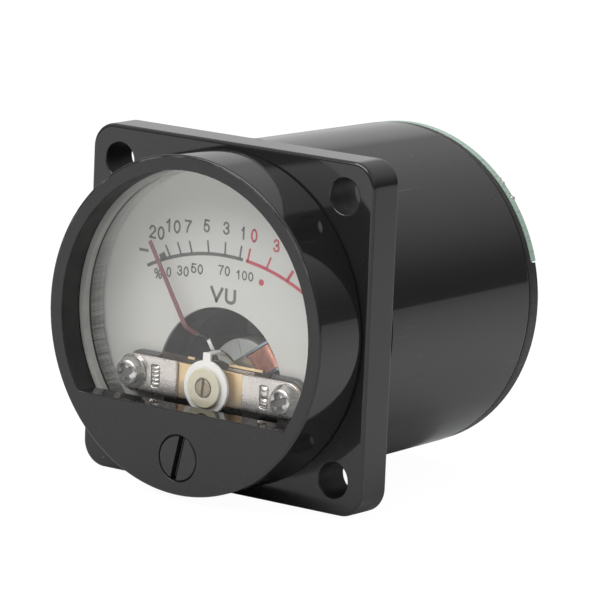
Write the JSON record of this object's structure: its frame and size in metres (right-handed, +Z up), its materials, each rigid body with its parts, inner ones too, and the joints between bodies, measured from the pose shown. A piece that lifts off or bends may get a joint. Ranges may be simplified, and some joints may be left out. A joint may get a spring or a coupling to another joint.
{
  "type": "panel level meter",
  "caption": "Round moving-coil VU level meter with a square four-hole flange, clear D-shaped window, printed dial, red pointer and slotted zero adjuster",
  "frame": {"origin": "centre of the flange's rear seating face, on the case axis", "axes": "-Y out of the dial towards the reader, +Y along the case to the terminals, +X to the reader's right, +Z up"},
  "size_m": [0.045, 0.0521, 0.045],
  "materials": {
    "case_black": "glossy black moulding",
    "window_clear": "clear moulded window",
    "dial_print": "pale grey printed dial",
    "inner_plastic": "dark grey moulding",
    "nickel_plate": "bright nickel plate",
    "brass": "stamped and turned brass",
    "steel": "zinc plated steel",
    "cream_plastic": "cream insulating plastic",
    "white_plastic": "white plastic",
    "copper_wire": "enamelled copper wire",
    "aluminium": "bare aluminium",
    "pointer_paint": "dull red paint",
    "board_laminate": "green laminate",
    "lamp_lens": "warm lamp lens",
    "wire_red": "red wire covering",
    "tinned": "tinned solder"
  },
  "bodies": {
    "housing": {"case_body": "case_black", "front_bezel": "case_black", "back_cover": "case_black", "window_lens": "window_clear", "dial_plate": "dial_print", "movement_carrier": "inner_plastic", "bridge_post_left": "inner_plastic", "bridge_post_right": "inner_plastic", "bridge_plate_left": "nickel_plate", "bridge_plate_right": "nickel_plate", "bridge_tab_left": "nickel_plate", "bridge_tab_right": "nickel_plate", "bearing_bridge": "brass", "bridge_screw_left": "steel", "bridge_screw_right": "steel", "jewel_screw_front": "brass", "jewel_screw_rear": "brass", "jewel_lock_nut": "brass", "lock_disc": "cream_plastic", "hairspring_rear": "brass", "core_magnet": "nickel_plate", "core_arm_upper": "inner_plastic", "core_arm_lower": "inner_plastic", "yoke_ring": "steel", "rear_frame": "aluminium", "frame_pillar_left": "brass", "frame_pillar_right": "brass", "lamp_board": "board_laminate", "lamp_left": "lamp_lens", "lamp_right": "lamp_lens", "lamp_lead_left": "tinned", "lamp_lead_right": "tinned", "terminal_board": "board_laminate", "terminal_stud_left": "brass", "terminal_stud_right": "brass", "terminal_washer_left": "brass", "terminal_washer_right": "brass", "terminal_nut_left": "brass", "terminal_nut_right": "brass", "bridge_rectifier": "inner_plastic", "series_resistor": "inner_plastic", "smoothing_capacitor": "cream_plastic", "coil_lead_left": "inner_plastic", "coil_lead_right": "wire_red"},
    "moving_coil": {"coil_winding": "copper_wire", "coil_former": "aluminium", "coil_plate_front": "aluminium", "coil_plate_rear": "aluminium", "pivot_front": "steel", "pivot_rear": "steel", "pointer": "pointer_paint", "balance_arm_tail": "aluminium", "balance_arm_side": "aluminium", "balance_weight_tail": "tinned", "balance_weight_side": "tinned"},
    "regulator": {"regulator_arm": "white_plastic", "hairspring_front": "brass"},
    "adjuster": {"zero_adjuster": "case_black", "adjuster_clip": "white_plastic"}
  },
  "joints": [
    {"name": "pointer_swing", "type": "hinge", "parent": "housing", "child": "moving_coil", "pos_m": [0, 0, -0.00855], "axis": [0, 1, 0], "range_deg": [-2, 78], "stiffness_Nm_per_rad": 0.00002},
    {"name": "zero_adjuster_turn", "type": "hinge", "parent": "housing", "child": "adjuster", "pos_m": [0, 0, -0.0169], "axis": [0, 1, 0], "range_deg": [-35, 35]},
    {"name": "regulator_swing", "type": "hinge", "parent": "housing", "child": "regulator", "pos_m": [0, 0, -0.00855], "axis": [0, 1, 0], "range_deg": [-6.5, 6.5]}
  ],
  "couplings": [
    {"joint": "regulator_swing", "follows": "zero_adjuster_turn", "ratio": -0.1678}
  ]
}
